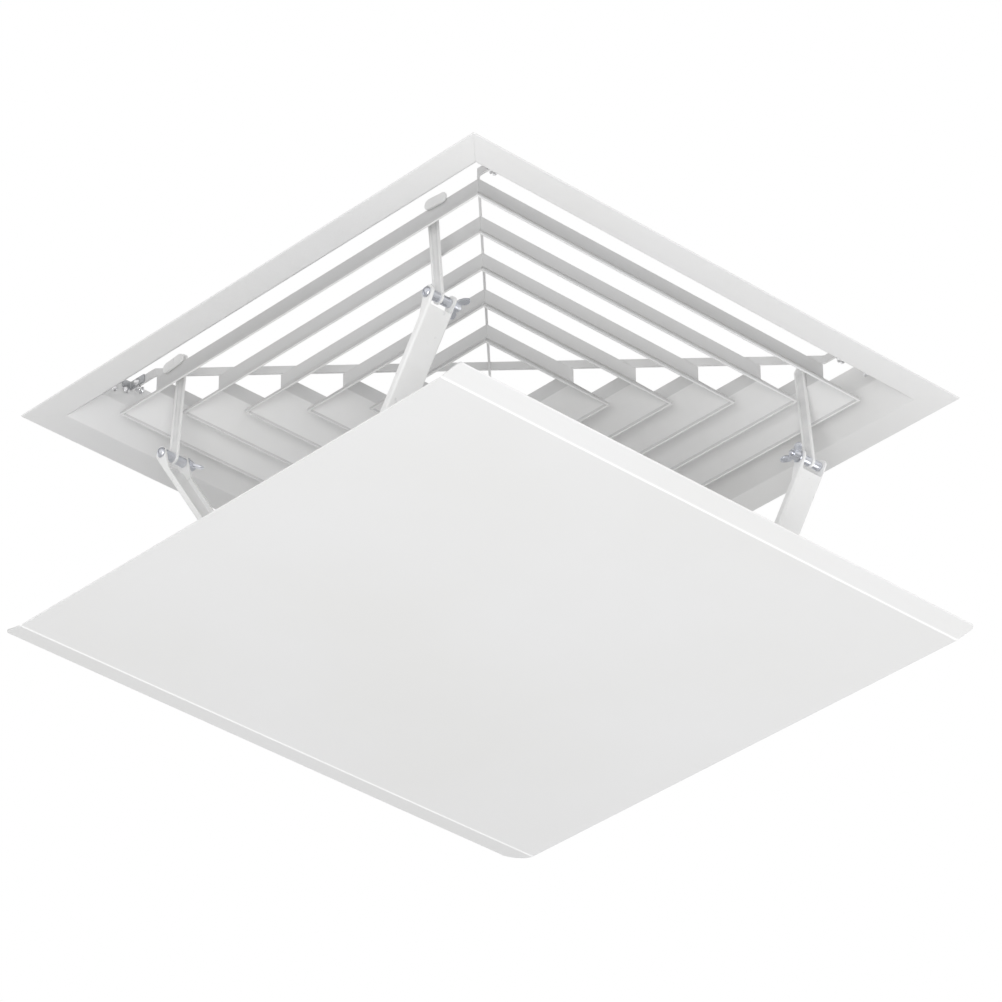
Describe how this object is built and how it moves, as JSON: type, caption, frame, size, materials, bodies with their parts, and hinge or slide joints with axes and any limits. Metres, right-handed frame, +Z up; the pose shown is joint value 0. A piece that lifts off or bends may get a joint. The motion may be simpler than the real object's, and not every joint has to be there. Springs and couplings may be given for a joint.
{
  "type": "ceiling air diffuser",
  "caption": "Square ceiling air diffuser with concentric louvre vanes and a flat deflector plate hung under it on folding hook arms.",
  "frame": {"origin": "centre of the ceiling opening, in the plane of the flange's back face", "axes": "+Z up into the duct, +X right, +Y back; the vane sides run along X and Y"},
  "size_m": [0.616, 0.595, 0.2842],
  "materials": {
    "frame_powder_coat": "satin white powder coat",
    "vane_powder_coat": "satin white powder coat",
    "plate_powder_coat": "smooth satin white coating",
    "hook_enamel": "white enamel on pressed steel",
    "link_enamel": "white enamel on pressed steel",
    "zinc_hardware": "bright zinc plate",
    "galvanised_sheet": "dull galvanised",
    "bright_rivet": "bright",
    "foam_tape": "matte foam"
  },
  "bodies": {
    "frame": {"frame_side_right": "frame_powder_coat", "frame_side_back": "frame_powder_coat", "frame_side_left": "frame_powder_coat", "frame_side_front": "frame_powder_coat", "corner_cleats": "galvanised_sheet", "cleat_rivets": "bright_rivet", "brace_under": "vane_powder_coat", "brace_over": "vane_powder_coat", "brace_clips": "galvanised_sheet", "brace_rivets": "bright_rivet", "vane_1_right": "vane_powder_coat", "vane_1_back": "vane_powder_coat", "vane_1_left": "vane_powder_coat", "vane_1_front": "vane_powder_coat", "vane_2_right": "vane_powder_coat", "vane_2_back": "vane_powder_coat", "vane_2_left": "vane_powder_coat", "vane_2_front": "vane_powder_coat", "vane_3_right": "vane_powder_coat", "vane_3_back": "vane_powder_coat", "vane_3_left": "vane_powder_coat", "vane_3_front": "vane_powder_coat", "vane_4_right": "vane_powder_coat", "vane_4_back": "vane_powder_coat", "vane_4_left": "vane_powder_coat", "vane_4_front": "vane_powder_coat", "vane_5_right": "vane_powder_coat", "vane_5_back": "vane_powder_coat", "vane_5_left": "vane_powder_coat", "vane_5_front": "vane_powder_coat"},
    "strap_back_left": {"hook_strap_back_left": "hook_enamel", "elbow_screw_back_left": "zinc_hardware", "elbow_spacers_back_left": "zinc_hardware"},
    "link_back_left": {"arm_link_back_left": "link_enamel", "foot_pin_back_left": "zinc_hardware"},
    "nut_back_left": {"wing_nut_back_left": "zinc_hardware"},
    "strap_front_left": {"hook_strap_front_left": "hook_enamel", "elbow_screw_front_left": "zinc_hardware", "elbow_spacers_front_left": "zinc_hardware"},
    "link_front_left": {"arm_link_front_left": "link_enamel", "foot_pin_front_left": "zinc_hardware"},
    "nut_front_left": {"wing_nut_front_left": "zinc_hardware"},
    "strap_front_right": {"hook_strap_front_right": "hook_enamel", "elbow_screw_front_right": "zinc_hardware", "elbow_spacers_front_right": "zinc_hardware"},
    "link_front_right": {"arm_link_front_right": "link_enamel", "foot_pin_front_right": "zinc_hardware"},
    "nut_front_right": {"wing_nut_front_right": "zinc_hardware"},
    "strap_back_right": {"hook_strap_back_right": "hook_enamel", "elbow_screw_back_right": "zinc_hardware", "elbow_spacers_back_right": "zinc_hardware"},
    "link_back_right": {"arm_link_back_right": "link_enamel", "foot_pin_back_right": "zinc_hardware"},
    "nut_back_right": {"wing_nut_back_right": "zinc_hardware"},
    "plate": {"deflector_plate": "plate_powder_coat", "foot_pads": "foam_tape", "foot_bracket_back_left": "galvanised_sheet", "foot_bracket_front_left": "galvanised_sheet", "foot_bracket_front_right": "galvanised_sheet", "foot_bracket_back_right": "galvanised_sheet"}
  },
  "joints": [
    {"name": "hook_swing_back_left", "type": "hinge", "parent": "frame", "child": "strap_back_left", "pos_m": [-0.2092, 0.179, 0.041], "axis": [1, 0, 0], "range_deg": [-5, 30]},
    {"name": "elbow_back_left", "type": "hinge", "parent": "strap_back_left", "child": "link_back_left", "pos_m": [-0.2092, 0.18772, -0.05862], "axis": [1, 0, 0], "range_deg": [-49.35, 8.22]},
    {"name": "foot_back_left", "type": "hinge", "parent": "link_back_left", "child": "plate", "pos_m": [-0.2092, 0.08151, -0.22216], "axis": [1, 0, 0], "range_deg": [-3.23, 19.35]},
    {"name": "wing_nut_spin_back_left", "type": "hinge", "parent": "strap_back_left", "child": "nut_back_left", "pos_m": [-0.2092, 0.18772, -0.05862], "axis": [1, 0, 0], "continuous": true},
    {"name": "hook_swing_front_left", "type": "hinge", "parent": "frame", "child": "strap_front_left", "pos_m": [-0.2092, -0.151, 0.041], "axis": [1, 0, 0], "range_deg": [-30, 5]},
    {"name": "elbow_front_left", "type": "hinge", "parent": "strap_front_left", "child": "link_front_left", "pos_m": [-0.2092, -0.15972, -0.05862], "axis": [1, 0, 0], "range_deg": [-8.22, 49.35]},
    {"name": "wing_nut_spin_front_left", "type": "hinge", "parent": "strap_front_left", "child": "nut_front_left", "pos_m": [-0.2092, -0.15972, -0.05862], "axis": [1, 0, 0], "continuous": true},
    {"name": "hook_swing_front_right", "type": "hinge", "parent": "frame", "child": "strap_front_right", "pos_m": [0.2092, -0.185, 0.041], "axis": [1, 0, 0], "range_deg": [-30, 5]},
    {"name": "elbow_front_right", "type": "hinge", "parent": "strap_front_right", "child": "link_front_right", "pos_m": [0.2092, -0.19372, -0.05862], "axis": [1, 0, 0], "range_deg": [-8.22, 49.35]},
    {"name": "wing_nut_spin_front_right", "type": "hinge", "parent": "strap_front_right", "child": "nut_front_right", "pos_m": [0.2092, -0.19372, -0.05862], "axis": [1, 0, 0], "continuous": true},
    {"name": "hook_swing_back_right", "type": "hinge", "parent": "frame", "child": "strap_back_right", "pos_m": [0.2092, 0.172, 0.041], "axis": [1, 0, 0], "range_deg": [-5, 30]},
    {"name": "elbow_back_right", "type": "hinge", "parent": "strap_back_right", "child": "link_back_right", "pos_m": [0.2092, 0.18072, -0.05862], "axis": [1, 0, 0], "range_deg": [-49.35, 8.22]},
    {"name": "wing_nut_spin_back_right", "type": "hinge", "parent": "strap_back_right", "child": "nut_back_right", "pos_m": [0.2092, 0.18072, -0.05862], "axis": [1, 0, 0], "continuous": true}
  ],
  "couplings": [
    {"joint": "elbow_back_left", "follows": "hook_swing_back_left", "ratio": -1.645},
    {"joint": "foot_back_left", "follows": "hook_swing_back_left", "ratio": 0.645},
    {"joint": "hook_swing_front_left", "follows": "hook_swing_back_left", "ratio": -1},
    {"joint": "elbow_front_left", "follows": "hook_swing_back_left", "ratio": 1.645},
    {"joint": "hook_swing_front_right", "follows": "hook_swing_back_left", "ratio": -1},
    {"joint": "elbow_front_right", "follows": "hook_swing_back_left", "ratio": 1.645},
    {"joint": "hook_swing_back_right", "follows": "hook_swing_back_left", "ratio": 1},
    {"joint": "elbow_back_right", "follows": "hook_swing_back_left", "ratio": -1.645}
  ]
}
